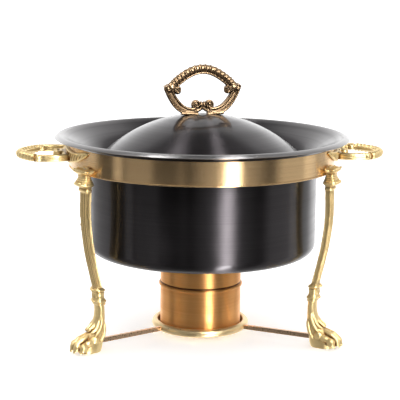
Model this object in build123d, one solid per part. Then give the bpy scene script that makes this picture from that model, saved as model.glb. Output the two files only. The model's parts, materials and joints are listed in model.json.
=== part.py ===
from build123d import *
import math
import os

# Round chafing dish on a three-legged brass stand.
# Millimetres, +Z up, origin on the floor under the centre of the dish.

# ---- driving dimensions ----
SHEET = 1.0                # thickness of the pans and the lid
PAN_R = 127.0              # outside radius of the water pan, a 10 in pan
PAN_FLOOR_Z = 94.5         # underside of the water pan
PAN_CORNER = 12.0          # bottom corner radius of the water pan
FLARE_Z = 188.5            # height where the pan walls start to flare
FLARE_R = 30.0             # radius of the water pan's flare
FLARE_TURN = 60.0          # degrees that a flare turns away from the wall
WATER_RIM_R = 150.0        # outer edge of the water pan's rim
NEST_GAP = 0.3             # clearance between the two nested rims

FOOD_R = 116.0             # outside radius of the food pan's body
FOOD_FLOOR_Z = 112.0       # underside of the food pan
FOOD_CORNER = 14.0
FOOD_FLARE_R = 27.0        # radius of the food pan's flare
LEDGE_R = 122.0            # outside radius of the ledge that carries the lid
LIP_R = 161.5              # outer edge of the dish
LIP_CURL_R = 7.0           # radius of the turned-down lip
LIP_FALL = 55.0            # degrees that the lip turns down past level

LID_R = 119.0              # outside radius of the lid
DOME_R = 157.0             # outside radius of the lid's dome
DOME_TOP_Z = 246.2
LID_GAP = 0.3              # clearance between the lid and its ledge

BAND_R = 146.0             # outside radius of the stand's band
BAND_T = 1.5
BAND_Z = (190.0, 215.4)    # lower and upper edge of the band
HEM_R = 0.9                # radius of the rolled hem at the band's lower edge

LEG_ANGLES = {"right": -30.0, "rear": 90.0, "left": 210.0}
LEG_TOP_R = 149.5          # distance of the leg's shaft from the axis under the band
SCREW_R = 2.0              # M4 fasteners
SCREW_FIT = 0.05           # clearance of a fastener in its hole
LEG_SCREW_Z = 197.0        # height of the screws that hold the legs
SCREW_REACH = 6.4          # shank of a screw through the band and what it holds
HOLE_L = 10.0              # length of a cross hole's cutter
HEAD_R = 3.8
HEAD_H = 2.4
WASHER_R = 4.6
WASHER_T = 0.8

HANDLE_Z = 203.5           # height of the side handles' middle plane
HANDLE_FACE_R = 149.0      # outer face of the side handles' winged plate
HANDLE_ANGLES = {"right": 0.0, "left": 180.0}
LID_HANDLE_ANGLE = 10.0    # the lid's handle stands a little askew
HANDLE_SCREW_Y = 13.0      # side handle screws, either side of the middle
HANDLE_OFFSETS = (-HANDLE_SCREW_Y, HANDLE_SCREW_Y)
LID_SCREW_X = 8.0          # lid handle screws, either side of the middle
LID_SCREW_END = 2.5        # how far those screws rise over the top of the dome

RING_R = 54.5              # burner ring, outside radius
RING_Z = (5.5, 15.0)
RING_SEAT_Z = 7.5          # top of the shelf under the burner
RING_BORE = 36.0           # hole in the shelf
STRUT_MID_Z = 10.5         # height of the struts' middle
STRUT_H = 5.0
STRUT_W = 5.0
HEEL_R = 133.0             # where a strut ends in the back of a leg
STRUT_FIT = 0.1            # clearance of a strut's bar in the heel
STRUT_HIDDEN = 10.0        # length of the bar inside the ring's wall and the heel
STRUT_CHAMFER = 0.5
STRUT_PIN_R = 1.6          # threaded end of a strut, in the leg's heel
STRUT_PIN_L = 12.0
RING_LIP = ((1.5, 0.6), (2.2, 2.2))     # inner edge of the ring's wall: inwards, down

CUP_R = 45.1               # burner cup, outside radius
CUP_T = 0.8
CUP_Z = (7.8, 57.4)
BEAD_R = 1.8               # rolled bead outside the cup's rim
COVER_TOP_Z = 79.0
GROOVE_H = 1.2             # groove between the cup's bead and the cover's wall
GROOVE_D = 0.4
FLAME_R = 25.0             # hole in the cover for the flame
CAN_R = 42.5               # gel fuel can
CAN_H = 57.0
CAN_T = 0.5
CAN_RIM = (1.6, 1.2)       # width and height of the can's upper bead
CAN_MOUTH_R = 22.0
GEL_H = 44.0
DAMPER_R = 27.5            # sliding plate that closes the flame hole
DAMPER_T = 0.8
DAMPER_ARM = 37.0          # pivot to the middle of the flame hole
DAMPER_PIVOT_Y = 37.0
DAMPER_EYE_R = 6.0         # rounded end of the damper round its rivet
DAMPER_NECK_W = 12.0
DAMPER_TAB = (18.0, 9.0)   # finger tab
RIVET_R = 2.0
RIVET_FIT = 0.15
RIVET_HEAD = (1.5, 1.0)    # overhang and height of the rivet's head
RIVET_CLENCH_H = 0.8       # height of its closed end
SPIGOT = 5.0               # depth of the cover's spigot in the cup

HEEL_SIDE = (Align.MAX, Align.CENTER, Align.CENTER)
SHANK_OUT = (Align.CENTER, Align.CENTER, Align.MIN)


def turned(*edges):
    """Solid turned about the Z axis from the outline that the edges close."""
    return revolve(make_face(Wire(list(edges))), axis=Axis.Z)


def ring(r_in, r_out, z0, z1):
    """Plain ring about the Z axis."""
    pts = [(r_in, 0, z0), (r_out, 0, z0), (r_out, 0, z1), (r_in, 0, z1)]
    return turned(*Polyline(*pts, close=True).edges())


def disc(r, z0, z1):
    """Plain disc about the Z axis."""
    return Pos(0, 0, z0) * Cylinder(r, z1 - z0, align=(Align.CENTER, Align.CENTER, Align.MIN))


def arc_point(centre, radius, turn):
    """Point of an arc that leaves a wall on its left and turns outwards."""
    a = math.radians(turn)
    return (centre[0] - radius * math.cos(a), 0, centre[1] + radius * math.sin(a))


def arc_between(centre, radius, turn0, turn1):
    """Arc of a flare from one turn to another, in degrees."""
    turns = (turn0, (turn0 + turn1) / 2, turn1)
    return ThreePointArc(*[arc_point(centre, radius, t) for t in turns])


def corner_arc(r, z, radius):
    """Bottom corner of a pan from its floor at height z to its wall at radius r."""
    mid = radius * (1 - math.sqrt(0.5))
    return ThreePointArc((r - radius, 0, z), (r - mid, 0, z + mid), (r, 0, z + radius))


def cone_height(centre, distance, r):
    """Height at radius r of the sloping rim that lies a distance from the flare's centre."""
    a = math.radians(FLARE_TURN)
    return centre[1] + (distance + (r - centre[0]) * math.cos(a)) / math.sin(a)


def water_pan():
    """Deep pan for hot water, with a flared rim that rests on the band."""
    c = (PAN_R + FLARE_R, FLARE_Z)
    inner = FLARE_R + SHEET
    under = (WATER_RIM_R, 0, cone_height(c, FLARE_R, WATER_RIM_R))
    upper = (WATER_RIM_R, 0, cone_height(c, inner, WATER_RIM_R))
    r_in, z_in = PAN_R - SHEET, PAN_FLOOR_Z + SHEET
    corner_in = PAN_CORNER - SHEET
    return turned(
        Line((0, 0, PAN_FLOOR_Z), (PAN_R - PAN_CORNER, 0, PAN_FLOOR_Z)),
        corner_arc(PAN_R, PAN_FLOOR_Z, PAN_CORNER),
        Line((PAN_R, 0, PAN_FLOOR_Z + PAN_CORNER), (PAN_R, 0, FLARE_Z)),
        arc_between(c, FLARE_R, 0, FLARE_TURN),
        Line(arc_point(c, FLARE_R, FLARE_TURN), under),
        Line(under, upper),
        Line(upper, arc_point(c, inner, FLARE_TURN)),
        arc_between(c, inner, 0, FLARE_TURN),
        Line((r_in, 0, FLARE_Z), (r_in, 0, z_in + corner_in)),
        corner_arc(r_in, z_in, corner_in),
        Line((r_in - corner_in, 0, z_in), (0, 0, z_in)),
        Line((0, 0, z_in), (0, 0, PAN_FLOOR_Z)),
    )


def food_flare_centre():
    """Centre of the food pan's flare, set so that the two rims nest with NEST_GAP."""
    a = math.radians(FLARE_TURN)
    r = LEDGE_R + FOOD_FLARE_R
    gap = FLARE_R + SHEET + NEST_GAP - FOOD_FLARE_R
    return (r, FLARE_Z + (gap + (r - PAN_R - FLARE_R) * math.cos(a)) / math.sin(a))


def lip_arc(radius):
    """Turned-down lip, concentric for its upper and under side."""
    slope = 90 - FLARE_TURN
    c = food_flare_centre()
    rc = LIP_R - LIP_CURL_R * math.sin(math.radians(LIP_FALL))
    r0 = rc - LIP_CURL_R * math.sin(math.radians(slope))
    z0 = cone_height(c, FOOD_FLARE_R + SHEET, r0)
    zc = z0 - LIP_CURL_R * math.cos(math.radians(slope))
    angles = [math.radians(t) for t in (-slope, (LIP_FALL - slope) / 2, LIP_FALL)]
    return [(rc + radius * math.sin(a), 0, zc + radius * math.cos(a)) for a in angles]


def food_pan():
    """Pan for the food: body, ledge for the lid, flare and turned-down lip."""
    c = food_flare_centre()
    inner = FOOD_FLARE_R + SHEET
    ledge_top = c[1] + SHEET
    rise = math.degrees(math.asin(SHEET / inner))
    under, upper = lip_arc(LIP_CURL_R - SHEET), lip_arc(LIP_CURL_R)
    r_in, z_in = FOOD_R - SHEET, FOOD_FLOOR_Z + SHEET
    corner_in = FOOD_CORNER - SHEET
    return turned(
        Line((0, 0, FOOD_FLOOR_Z), (FOOD_R - FOOD_CORNER, 0, FOOD_FLOOR_Z)),
        corner_arc(FOOD_R, FOOD_FLOOR_Z, FOOD_CORNER),
        Line((FOOD_R, 0, FOOD_FLOOR_Z + FOOD_CORNER), (FOOD_R, 0, c[1])),
        Line((FOOD_R, 0, c[1]), (LEDGE_R, 0, c[1])),
        arc_between(c, FOOD_FLARE_R, 0, FLARE_TURN),
        Line(arc_point(c, FOOD_FLARE_R, FLARE_TURN), under[0]),
        ThreePointArc(*under),
        Line(under[2], upper[2]),
        ThreePointArc(*upper),
        Line(upper[0], arc_point(c, inner, FLARE_TURN)),
        arc_between(c, inner, rise, FLARE_TURN),
        Line(arc_point(c, inner, rise), (r_in, 0, ledge_top)),
        Line((r_in, 0, ledge_top), (r_in, 0, z_in + corner_in)),
        corner_arc(r_in, z_in, corner_in),
        Line((r_in - corner_in, 0, z_in), (0, 0, z_in)),
        Line((0, 0, z_in), (0, 0, FOOD_FLOOR_Z)),
    )


def dome_height(r, radius=DOME_R):
    """Height of the lid's dome at radius r."""
    return DOME_TOP_Z - DOME_R + math.sqrt(radius ** 2 - r ** 2)


def dome_arc(r_end, radius):
    """Arc of the dome from the axis to radius r_end."""
    return ThreePointArc(*[(r, 0, dome_height(r, radius)) for r in (0, r_end / 2, r_end)])


def lid():
    """Domed lid with a short skirt and two holes for its handle."""
    r_in, inner = LID_R - SHEET, DOME_R - SHEET
    foot_z = food_flare_centre()[1] + SHEET + LID_GAP
    shell = turned(
        dome_arc(LID_R, DOME_R),
        Line((LID_R, 0, dome_height(LID_R)), (LID_R, 0, foot_z)),
        Line((LID_R, 0, foot_z), (r_in, 0, foot_z)),
        Line((r_in, 0, foot_z), (r_in, 0, dome_height(r_in, inner))),
        dome_arc(r_in, inner),
        Line((0, 0, dome_height(0, inner)), (0, 0, dome_height(0))),
    )
    for x in (-LID_SCREW_X, LID_SCREW_X):
        shell -= Pos(x, 0, DOME_TOP_Z) * Cylinder(SCREW_R + SCREW_FIT, HOLE_L)
    return Rot(0, 0, LID_HANDLE_ANGLE) * shell


# ---- scrolled handles, drawn in the XY plane with the grip along +Y ----
GRIP_R = 4.6               # thick rope-patterned grip
ARM_R = 3.5                # thin arms
KNOB_R = 5.2
HALF_SPAN = 38.5           # middle of the handle to its corner knobs
CORNER_V = 30.0            # height of the corner knobs over the handle's base
GRIP_V = 50.0              # height of the grip's middle
SCROLL_R = 5.4             # volutes in the middle of the base
SCROLL_LAP = 0.6           # how far the two volutes run into each other
PLATE_T = 3.0              # half thickness of the flat parts
BUD_R = 3.8                # inner bud of a corner knob, with its place from the knob
BUD_IN, BUD_DOWN = 9.0, 3.0
BUD_STALK = (8.0, 4.0)     # length and height of the stalk between knob and bud
STALK_IN, STALK_DOWN = 5.0, 1.5
LID_VOLUTE_V = 9.7         # height of the lid handle's scrolls over the dome
LID_ARM_R = 4.1            # the lid handle's arms are broader
LID_ARM = ((37.5, 27.5), (28.5, 10.5), (12.0, 4.4))
LID_BASE_U = 22.0          # the base's half length, foot, top and half thickness
LID_BASE_FOOT, LID_BASE_TOP = -2.5, 4.6
LID_BASE_HALF = 4.4
NOTCH = 5.4                # side of the lozenge cut out under the lid's scrolls
NOTCH_V = 0.4              # and the height of its middle
SIDE_VOLUTE_V = 11.5       # height of the side handles' scrolls off the plate
SIDE_ARM = ((HALF_SPAN, CORNER_V), (37.5, 13.0), (33.0, -5.5))
SIDE_BASE = (36.0, 9.0)    # block between the arms and the plate
SIDE_BASE_V = 2.5
SIDE_NOTCH, SIDE_NOTCH_V = 3.6, 4.6
PLATE_HOLE_IN = 2.0        # a plate hole's middle lies this far inside the plate's face
WING_H = 8.0               # half height of the winged plate in its middle
# outline of one wing from its lower edge to its upper edge: across, up
WING = ((30.0, -WING_H), (48.0, -4.0), (76.0, 5.5), (74.0, 8.6), (50.0, 6.6), (30.0, WING_H))


def tube(radius, *points):
    """Round bar along an arc through three points of the XY plane."""
    path = ThreePointArc(*[(x, y, 0) for x, y in points])
    return sweep(Plane(origin=path @ 0, z_dir=path % 0) * Circle(radius), path)


def button(x, y, radius, half):
    """Round boss that stands out on both faces of the handle."""
    return Pos(x, y, 0) * Cylinder(radius, 2 * half)


def grip():
    """Arched grip between two corner knobs, each with a small inner bud."""
    shape = tube(GRIP_R, (-HALF_SPAN, CORNER_V), (0, GRIP_V), (HALF_SPAN, CORNER_V))
    for side in (-1, 1):
        shape += Pos(side * HALF_SPAN, CORNER_V, 0) * Rot(0, 90, 0) * Sphere(KNOB_R)
        shape += button(side * (HALF_SPAN - BUD_IN), CORNER_V - BUD_DOWN, BUD_R, PLATE_T)
        stalk = Box(*BUD_STALK, 2 * PLATE_T)
        shape += Pos(side * (HALF_SPAN - STALK_IN), CORNER_V - STALK_DOWN, 0) * stalk
    return shape


def volutes(y):
    """Pair of inward scrolls, side by side."""
    reach = SCROLL_R - SCROLL_LAP
    half = PLATE_T + SCROLL_LAP
    return button(-reach, y, SCROLL_R, half) + button(reach, y, SCROLL_R, half)


def lozenge(y, side):
    """Lozenge that is cut through under the scrolls."""
    return Pos(0, y, 0) * Rot(0, 0, 45) * Box(side, side, 4 * KNOB_R)


def lid_handle():
    """Lid handle: grip, curved arms, scrolls and a base shaped to the dome."""
    shape = grip() + volutes(LID_VOLUTE_V)
    for side in (-1, 1):
        shape += tube(LID_ARM_R, *[(side * u, v) for u, v in LID_ARM])
    shape += Pos(0, (LID_BASE_TOP + LID_BASE_FOOT) / 2, 0) * Box(
        2 * LID_BASE_U, LID_BASE_TOP - LID_BASE_FOOT, 2 * LID_BASE_HALF)
    shape -= lozenge(NOTCH_V, NOTCH)
    shape = Rot(0, 0, LID_HANDLE_ANGLE) * Pos(0, 0, DOME_TOP_Z) * Rot(90, 0, 0) * shape
    shape -= Pos(0, 0, DOME_TOP_Z - DOME_R) * Sphere(DOME_R)
    for x in (-LID_SCREW_X, LID_SCREW_X):
        top = DOME_TOP_Z + LID_SCREW_END + SCREW_FIT
        shape -= lid_fastener(x, SCREW_R + SCREW_FIT, DOME_TOP_Z - HOLE_L, top)
    return shape


def wing_outline():
    """Winged plate seen from outside: Y across, Z up, its tips swept up."""
    mirrored = [(-y, z) for y, z in reversed(WING)]
    return [(0, y, z) for y, z in [(0, -WING_H), *WING, (0, WING_H), *mirrored]]


def side_handle(angle):
    """Side handle: grip, arms, scrolls and a winged plate wrapped on the band."""
    shape = grip() + volutes(SIDE_VOLUTE_V)
    for side in (-1, 1):
        shape += tube(ARM_R, *[(side * u, v) for u, v in SIDE_ARM])
    shape += Pos(0, SIDE_BASE_V, 0) * Box(*SIDE_BASE, 2 * PLATE_T)
    shape -= lozenge(SIDE_NOTCH_V, SIDE_NOTCH)
    shape = Pos(HANDLE_FACE_R, 0, HANDLE_Z) * Rot(0, 0, -90) * shape
    wing = extrude(make_face(Polyline(*wing_outline(), close=True)), LIP_R, dir=(1, 0, 0))
    wing = Pos(0, 0, HANDLE_Z) * wing & ring(BAND_R, HANDLE_FACE_R, *BAND_Z)
    shape = shape + wing - disc(BAND_R, *BAND_Z)
    for y in HANDLE_OFFSETS:
        shape -= cross_hole(HANDLE_FACE_R - PLATE_HOLE_IN, y, HANDLE_Z)
    return Rot(0, 0, angle) * shape


def cross_hole(x, y, z):
    """Radial screw hole whose middle is at x."""
    return Pos(x, y, z) * Rot(0, 90, 0) * Cylinder(SCREW_R + SCREW_FIT, HOLE_L)


# ---- stand ----
# Leg sections, top to bottom: height, distance from the axis, depth, width.
SHAFT = [
    (183.0, LEG_TOP_R - 0.7, 7.6, 12.6),
    (172.0, LEG_TOP_R - 0.4, 7.6, 12.6),
    (150.0, LEG_TOP_R, 7.5, 12.4),
    (125.0, LEG_TOP_R - 2.0, 7.5, 12.2),
    (100.0, LEG_TOP_R - 6.3, 7.5, 11.8),
    (80.0, LEG_TOP_R - 11.0, 7.6, 11.2),
    (62.0, LEG_TOP_R - 15.2, 8.0, 10.6),
]
PAW = [
    (58.0, 133.8, 9.6, 11.0),
    (40.0, 132.5, 9.8, 11.4),
    (31.0, 133.3, 11.8, 13.0),
    (24.0, 137.0, 18.5, 17.0),
    (17.0, 143.0, 29.0, 22.0),
    (10.0, 147.5, 33.0, 25.5),
    (4.0, 149.5, 31.0, 25.0),
    (0.0, 150.0, 26.0, 21.0),
]
TOE_R = 4.6
TOE_TIPS = ((161.0, -3.3), (161.0, 3.3), (157.5, -9.0), (157.5, 9.0))
SHAFT_CORNER, BLOCK_CORNER = 2.4, 3.0
LEG_HOLE_R = BAND_R + 1.5  # middle of the screw hole in the leg's head
# Rounded collars: height, distance from the axis, depth, width, thickness.
COLLARS = [
    (181.0, 150.0, 15.5, 20.0, 4.0),
    (175.5, 149.0, 12.0, 15.0, 3.0),
    (67.0, 134.9, 11.6, 13.6, 3.4),
    (54.5, 133.7, 12.0, 14.0, 3.4),
]
# Plain blocks of the capital and the knee: height, distance, depth, width, thickness.
BLOCKS = [
    (198.0, 150.0, 9.0, 12.0, 6.0),
    (195.7, 150.0, 22.0, 27.0, 3.4),
    (190.5, 149.8, 13.6, 17.0, 8.0),
    (187.0, 149.3, 11.0, 13.0, 12.0),
    (60.5, 134.0, 9.6, 11.2, 10.0),
]


def shaft():
    """Upper leg: rounded rectangles that lean in towards the knee."""
    return loft([Pos(r, 0, z) * RectangleRounded(d, w, SHAFT_CORNER) for z, r, d, w in SHAFT])


def paw():
    """Shin and animal paw with four toes and a flat sole."""
    shape = loft([Pos(r, 0, z) * Ellipse(d / 2, w / 2) for z, r, d, w in PAW])
    for r, y in TOE_TIPS:
        shape += Pos(r, y, TOE_R) * Sphere(TOE_R)
    return shape


def block(z, r, depth, width, thickness):
    """Level block of a leg with rounded corners, centred at height z."""
    outline = RectangleRounded(depth, width, BLOCK_CORNER)
    return Pos(r, 0, z) * extrude(outline, thickness / 2, both=True)


def collar(z, r, depth, width, thickness):
    """Rounded collar around the leg."""
    body = block(z, r, depth, width, thickness)
    levels = body.edges().group_by(Axis.Z)
    return fillet(levels[-1] + levels[0], thickness * 0.4)


def leg(angle):
    """Cast leg: capital with the band's seat, shaft, knee, shin and paw."""
    shape = shaft() + paw()
    for row in COLLARS:
        shape += collar(*row)
    for row in BLOCKS:
        shape += block(*row)
    shape = shape - disc(BAND_R, *BAND_Z) - hem()
    shape -= cross_hole(LEG_HOLE_R, 0, LEG_SCREW_Z)
    heel = Pos(HEEL_R, 0, STRUT_MID_Z)
    slot = Box(2 * STRUT_HIDDEN, STRUT_W + 2 * STRUT_FIT, STRUT_H + 2 * STRUT_FIT, align=HEEL_SIDE)
    shape -= heel * slot
    pin_hole = Cylinder(STRUT_PIN_R + SCREW_FIT, STRUT_PIN_L + 4 * STRUT_FIT)
    shape -= heel * Rot(0, 90, 0) * pin_hole
    return Rot(0, 0, angle) * shape


def strut(angle):
    """Flat bar from the burner ring to a leg's heel, with a threaded end."""
    length = HEEL_R - RING_R + STRUT_HIDDEN
    bar = Pos(HEEL_R, 0, STRUT_MID_Z) * Box(length, STRUT_W, STRUT_H, align=HEEL_SIDE)
    bar = chamfer(bar.edges().filter_by(Axis.X), STRUT_CHAMFER) - disc(RING_R, *RING_Z)
    pin = Pos(HEEL_R, 0, STRUT_MID_Z) * Rot(0, 90, 0) * Cylinder(STRUT_PIN_R, STRUT_PIN_L)
    return Rot(0, 0, angle) * (bar + pin)


def hem():
    """Rolled bead round the lower edge of the band."""
    bead = Pos(BAND_R, 0, BAND_Z[0] + HEM_R) * Rot(90, 0, 0) * Circle(HEM_R)
    return revolve(bead, axis=Axis.Z)


def stand_band():
    """Rolled brass band with a hem at its lower edge and holes for the screws."""
    shape = ring(BAND_R - BAND_T, BAND_R, *BAND_Z) + hem()
    for angle in LEG_ANGLES.values():
        shape -= Rot(0, 0, angle) * cross_hole(BAND_R, 0, LEG_SCREW_Z)
    for angle in HANDLE_ANGLES.values():
        for y in HANDLE_OFFSETS:
            shape -= Rot(0, 0, angle) * cross_hole(BAND_R, y, HANDLE_Z)
    return shape


def inside_screw(x, y, z):
    """Pan-head screw driven outwards from inside the band."""
    shank = Pos(x, y, z) * Rot(0, 90, 0) * Cylinder(SCREW_R, SCREW_REACH, align=SHANK_OUT)
    head = Pos(x, y, z) * Rot(0, -90, 0) * Cylinder(HEAD_R, HEAD_H, align=SHANK_OUT)
    return shank + head


def band_washer(x, y, z):
    """Plain washer under the head of a screw inside the band."""
    flat = Cylinder(WASHER_R, WASHER_T) - Cylinder(SCREW_R + SCREW_FIT, 2 * WASHER_T)
    return Pos(x + WASHER_T / 2, y, z) * Rot(0, 90, 0) * flat


def flat_seat(y):
    """Distance from the axis of a washer that lies inside the band at offset y."""
    return math.sqrt((BAND_R - BAND_T) ** 2 - (abs(y) + WASHER_R) ** 2) - WASHER_T


def group(make, angles, offsets, z):
    """Copies of a fastener for each angle and sideways offset."""
    return Compound([Rot(0, 0, a) * make(flat_seat(y), y, z) for a in angles for y in offsets])


# ---- burner ----
def burner_ring():
    """Brass tray ring that holds the burner, with a wide rounded wall."""
    z0, z1 = RING_Z
    wall_r = (z1 - z0) / 2
    wall = RING_R - wall_r
    edge, inside = [(wall - inwards, 0, z1 - down) for inwards, down in RING_LIP]
    return turned(
        Line((RING_BORE, 0, z0), (wall, 0, z0)),
        ThreePointArc((wall, 0, z0), (RING_R, 0, z0 + wall_r), (wall, 0, z1)),
        ThreePointArc((wall, 0, z1), edge, inside),
        Line(inside, (inside[0], 0, RING_SEAT_Z)),
        Line((inside[0], 0, RING_SEAT_Z), (RING_BORE, 0, RING_SEAT_Z)),
        Line((RING_BORE, 0, RING_SEAT_Z), (RING_BORE, 0, z0)),
    )


def burner_cup():
    """Open cup that the fuel can stands in, with a rolled bead outside its rim."""
    z0, z1 = CUP_Z
    bead = Pos(CUP_R, 0, z1 - BEAD_R) * Rot(90, 0, 0) * Circle(BEAD_R)
    cup = disc(CUP_R, z0, z1) + revolve(bead, axis=Axis.Z)
    return cup - disc(CUP_R - CUP_T, z0 + CUP_T, z1 + BEAD_R)


def burner_cover():
    """Upper shell with a flame hole, a groove over the bead and a spigot in the cup."""
    lip = CUP_Z[1] + NEST_GAP
    wall = lip + GROOVE_H
    inside = CUP_R - CUP_T
    spigot_r = inside - NEST_GAP
    shell = disc(CUP_R, wall, COVER_TOP_Z) - disc(inside, wall, COVER_TOP_Z - CUP_T)
    shell += ring(spigot_r - CUP_T, CUP_R - GROOVE_D, lip, wall + CUP_T)
    shell += ring(spigot_r - CUP_T, spigot_r, lip - SPIGOT, lip + CUP_T)
    shell -= disc(FLAME_R, COVER_TOP_Z - 2 * CUP_T, COVER_TOP_Z + CUP_T)
    pivot_hole = Cylinder(RIVET_R, 4 * CUP_T)
    return shell - Pos(0, DAMPER_PIVOT_Y, COVER_TOP_Z) * pivot_hole


def flame_damper():
    """Swinging plate that closes the flame hole, drawn wide open."""
    pivot = Pos(0, DAMPER_PIVOT_Y, COVER_TOP_Z + NEST_GAP)
    mid = DAMPER_T / 2
    plate = Pos(DAMPER_ARM, 0, 0) * disc(DAMPER_R, 0, DAMPER_T)
    plate += Pos(DAMPER_ARM / 2, 0, mid) * Box(DAMPER_ARM, DAMPER_NECK_W, DAMPER_T)
    plate += disc(DAMPER_EYE_R, 0, DAMPER_T)
    plate += Pos(DAMPER_ARM + DAMPER_R, 0, mid) * Box(*DAMPER_TAB, DAMPER_T)
    return pivot * (plate - Cylinder(RIVET_R + RIVET_FIT, 4 * DAMPER_T))


def damper_rivet():
    """Rivet that the damper swings on, closed under the cover's top."""
    under = COVER_TOP_Z - CUP_T
    over = COVER_TOP_Z + 2 * NEST_GAP + DAMPER_T
    head_r, head_top = RIVET_R + RIVET_HEAD[0], over + RIVET_HEAD[1]
    shape = disc(RIVET_R, under, over) + disc(head_r, over, head_top)
    shape += disc(head_r, under - RIVET_CLENCH_H, under)
    return Pos(0, DAMPER_PIVOT_Y, 0) * shape


def fuel_can():
    """Round tin for gel fuel with its lid off."""
    z0 = CUP_Z[0] + CUP_T
    top = z0 + CAN_H
    rim_w, rim_h = CAN_RIM
    tin = disc(CAN_R, z0, top) - disc(CAN_R - CAN_T, z0 + CAN_T, top - CAN_T)
    tin += ring(CAN_R - rim_w, CAN_R, top, top + rim_h)
    return tin - disc(CAN_MOUTH_R, top - rim_h, top + rim_h)


def fuel_gel():
    """Charge of gel fuel in the can."""
    z0 = CUP_Z[0] + CUP_T + CAN_T
    return disc(CAN_R - CAN_T, z0, z0 + GEL_H)


def lid_fastener(x, radius, z0, z1):
    """Disc on a lid screw's axis."""
    return Rot(0, 0, LID_HANDLE_ANGLE) * Pos(x, 0, 0) * disc(radius, z0, z1)


def lid_handle_screws():
    """Two screws from under the lid into the handle's foot."""
    screws = []
    for x in (-LID_SCREW_X, LID_SCREW_X):
        seat = lid_washer_z(x)
        shape = lid_fastener(x, SCREW_R, seat, DOME_TOP_Z + LID_SCREW_END)
        screws.append(shape + lid_fastener(x, HEAD_R, seat - HEAD_H, seat))
    return Compound(screws)


def lid_washer_z(x):
    """Underside of the washer whose rim touches the inside of the dome."""
    return dome_height(abs(x) + WASHER_R, DOME_R - SHEET) - WASHER_T


def lid_handle_washers():
    """Washers between the lid and the heads of its screws."""
    washers = []
    for x in (-LID_SCREW_X, LID_SCREW_X):
        seat = lid_washer_z(x)
        flat = lid_fastener(x, WASHER_R, seat, seat + WASHER_T)
        washers.append(flat - lid_fastener(x, SCREW_R + SCREW_FIT, seat, seat + WASHER_T))
    return Compound(washers)


def sub_parts():
    """Every node's name with its shape."""
    parts = {
        "stand_band": stand_band(),
        "leg_screws": group(inside_screw, LEG_ANGLES.values(), (0,), LEG_SCREW_Z),
        "leg_washers": group(band_washer, LEG_ANGLES.values(), (0,), LEG_SCREW_Z),
        "handle_screws": group(inside_screw, HANDLE_ANGLES.values(), HANDLE_OFFSETS, HANDLE_Z),
        "handle_washers": group(band_washer, HANDLE_ANGLES.values(), HANDLE_OFFSETS, HANDLE_Z),
        "burner_ring": burner_ring(),
        "burner_cup": burner_cup(),
        "burner_cover": burner_cover(),
        "flame_damper": flame_damper(),
        "damper_rivet": damper_rivet(),
        "fuel_can": fuel_can(),
        "fuel_gel": fuel_gel(),
        "water_pan": water_pan(),
        "food_pan": food_pan(),
        "lid": lid(),
        "lid_handle": lid_handle(),
        "lid_handle_screws": lid_handle_screws(),
        "lid_handle_washers": lid_handle_washers(),
    }
    for side, angle in LEG_ANGLES.items():
        parts["leg_" + side] = leg(angle)
        parts["strut_" + side] = strut(angle)
    for side, angle in HANDLE_ANGLES.items():
        parts["handle_" + side] = side_handle(angle)
    return parts


if __name__ == "__main__":
    os.makedirs("parts", exist_ok=True)
    for name, shape in sub_parts().items():
        export_step(shape, f"parts/{name}.step")
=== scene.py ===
import json
import math

import bpy
import numpy as np
from mathutils import Matrix, Vector


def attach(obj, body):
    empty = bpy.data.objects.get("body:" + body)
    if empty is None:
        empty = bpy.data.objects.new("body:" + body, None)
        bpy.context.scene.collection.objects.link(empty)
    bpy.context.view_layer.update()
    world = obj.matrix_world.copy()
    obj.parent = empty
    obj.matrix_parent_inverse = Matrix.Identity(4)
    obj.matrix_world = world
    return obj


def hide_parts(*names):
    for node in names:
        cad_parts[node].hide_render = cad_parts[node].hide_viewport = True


# Looks of the chafing dish: its metal paints, its cast handles and legs, and the studio.
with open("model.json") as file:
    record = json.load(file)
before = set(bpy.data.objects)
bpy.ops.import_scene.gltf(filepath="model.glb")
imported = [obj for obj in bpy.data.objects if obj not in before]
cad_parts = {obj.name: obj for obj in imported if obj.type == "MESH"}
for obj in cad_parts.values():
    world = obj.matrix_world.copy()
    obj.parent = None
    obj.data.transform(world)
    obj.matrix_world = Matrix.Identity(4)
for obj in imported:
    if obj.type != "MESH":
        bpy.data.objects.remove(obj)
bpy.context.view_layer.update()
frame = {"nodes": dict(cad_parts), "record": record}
MM = 0.001

# ---- sizes shared with the CAD, in millimetres and degrees ----
BAND_R, BAND_LOW = 146.0, 190.0             # outer face and lower edge of the band
HANDLE_FACE_R, HANDLE_Z = 149.0, 203.5      # where the side handles stand on it
DOME_TOP_Z = 246.2                          # foot of the lid's handle
LID_HANDLE_ANGLE = 10.0
# height, distance from the axis, depth and width of a leg's shaft
SHAFT = [(180.0, 148.9, 7.6, 12.6), (172.0, 149.1, 7.6, 12.6), (160.0, 149.4, 7.5, 12.5),
         (150.0, 149.5, 7.5, 12.4), (137.0, 148.9, 7.5, 12.3), (125.0, 147.5, 7.5, 12.2),
         (112.0, 145.6, 7.5, 12.0), (100.0, 143.2, 7.5, 11.8), (90.0, 141.0, 7.6, 11.5),
         (80.0, 138.5, 7.6, 11.2), (70.0, 136.2, 7.8, 10.9), (64.0, 134.9, 8.0, 10.6)]
LEG_ANGLES = {"right": -30.0, "rear": 90.0, "left": 210.0}
HANDLE_ANGLES = {"right": 0.0, "left": 180.0}

# ---- camera: the photograph's viewing angle ----
VIEW_TURN = math.radians(6.0)       # the dish stands turned a little to the camera
PITCH = math.radians(10.84)
ROLL = math.radians(0.60)
LENS, SENSOR = 108.0, 36.0          # focal length and width of the film, in millimetres
CAMERA_AT = Vector((-0.1386, -1.3037, 0.4006))


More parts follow.
